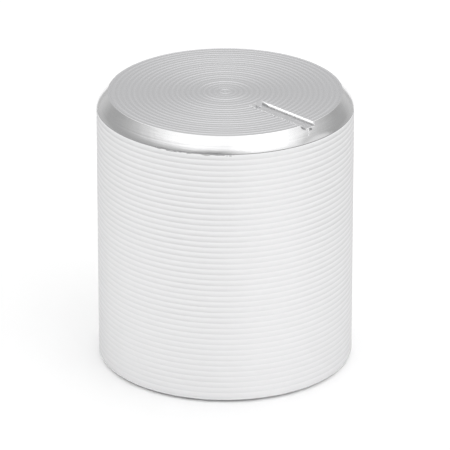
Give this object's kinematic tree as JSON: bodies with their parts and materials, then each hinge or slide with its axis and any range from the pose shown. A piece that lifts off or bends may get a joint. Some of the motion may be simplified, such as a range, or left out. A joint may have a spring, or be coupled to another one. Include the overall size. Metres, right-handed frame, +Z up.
{
  "type": "potentiometer knob",
  "caption": "Round turned aluminium knob with a finely ribbed grip, a bevelled top with a pointer slot, and a set screw that clamps a plain 6 mm shaft.",
  "frame": {"origin": "centre of the base rim, on the shaft axis", "axes": "+Z up the shaft axis and out of the top face, -Y towards the pointer, +Y towards the set screw"},
  "size_m": [0.015, 0.015, 0.0165],
  "materials": {
    "anodised_aluminium": "bead-blasted and clear anodised, with a bright-cut bevel and a spun top",
    "screw_steel": "blackened"
  },
  "bodies": {
    "root": {"knob_body": "anodised_aluminium", "set_screw": "screw_steel"}
  },
  "joints": []
}
